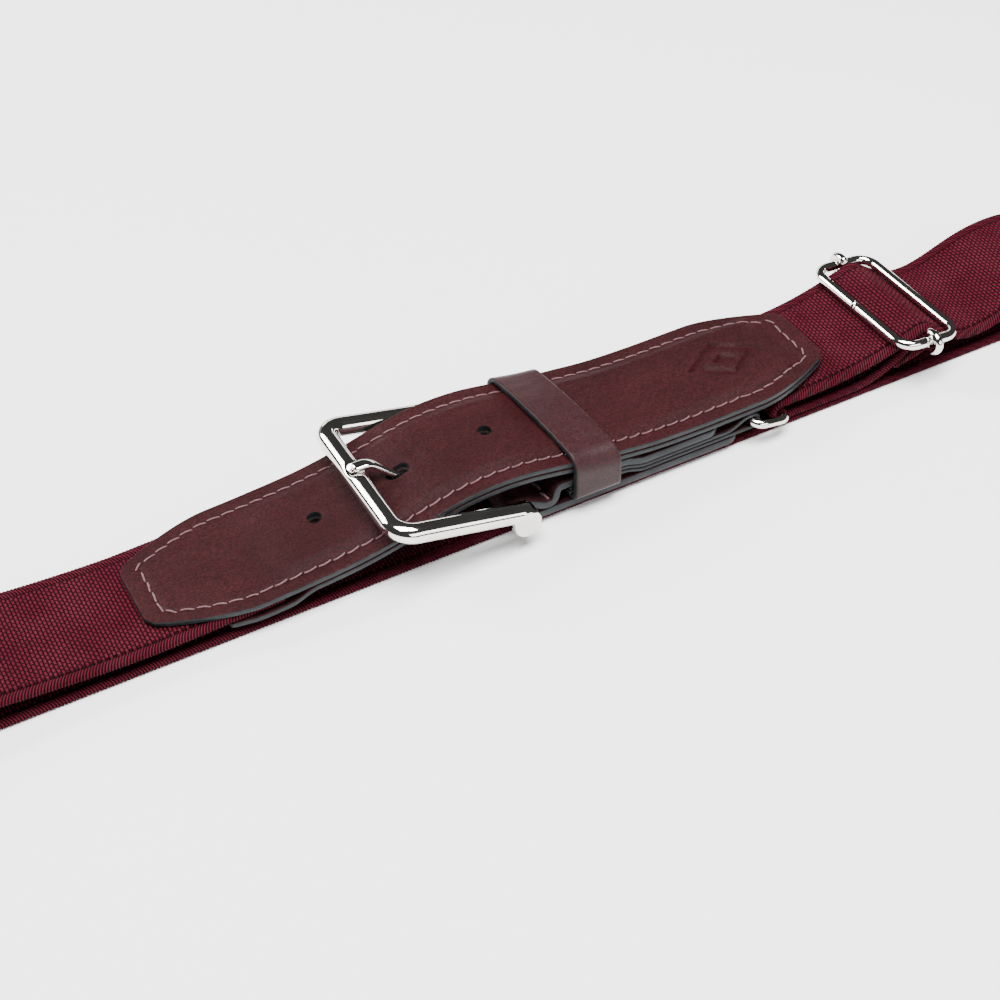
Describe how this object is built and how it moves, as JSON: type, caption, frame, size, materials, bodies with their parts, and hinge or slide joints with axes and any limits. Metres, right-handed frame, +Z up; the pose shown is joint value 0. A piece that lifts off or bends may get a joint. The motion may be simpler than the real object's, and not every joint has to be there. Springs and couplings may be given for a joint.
{
  "type": "adjustable webbing belt",
  "caption": "Stretch-webbing dress belt with leather ends, prong buckle, keeper, ring and wire slide, buckled and laid flat as a closed loop.",
  "frame": {"origin": "on the table, under the middle of the flattened loop", "axes": "+X along the belt from the billet's sewn end towards the length adjuster, +Y across the belt, +Z up"},
  "size_m": [0.43, 0.054, 0.0233],
  "materials": {
    "webbing": "ribbed elastic weave with corded selvages",
    "thread": "twisted polyester thread",
    "leather": "smooth, fine grain, satin, with dark painted edges",
    "keeper_leather": "smooth, satin, with dark rough edges",
    "filler": "raw bonded leather board",
    "nickel": "polished nickel plate"
  },
  "bodies": {
    "belt": {"strap_webbing": "webbing", "strap_end_stitching": "thread", "billet_upper": "leather", "billet_filler": "filler", "billet_lining": "leather", "billet_stitching": "thread", "chape": "leather", "crease_stitching": "thread", "ring_tab": "leather"},
    "buckle": {"buckle_frame": "nickel", "buckle_bar": "nickel"},
    "prong": {"buckle_prong": "nickel"},
    "keeper": {"keeper_loop": "keeper_leather"},
    "ring": {"tab_ring": "nickel"},
    "slide": {"slide_frame": "nickel", "slide_centre_bar": "nickel"}
  },
  "joints": [
    {"name": "buckle_hinge", "type": "hinge", "parent": "belt", "child": "buckle", "pos_m": [0.009, 0, 0.0063], "axis": [0, 1, 0], "range_deg": [0, 3]},
    {"name": "prong_hinge", "type": "hinge", "parent": "buckle", "child": "prong", "pos_m": [0.009, 0, 0.0063], "axis": [0, 1, 0], "range_deg": [0, 2]},
    {"name": "keeper_travel", "type": "slide", "parent": "belt", "child": "keeper", "axis": [1, 0, 0], "range_m": [-0.0005, 0.0015]},
    {"name": "ring_swing", "type": "hinge", "parent": "belt", "child": "ring", "pos_m": [0.0845, 0, 0.0073], "axis": [0, -1, 0], "range_deg": [0, 8], "deforming": ["strap_webbing"]},
    {"name": "slide_travel", "type": "slide", "parent": "belt", "child": "slide", "axis": [1, 0, 0], "range_m": [-0.008, 0.008], "deforming": ["strap_webbing"]}
  ]
}
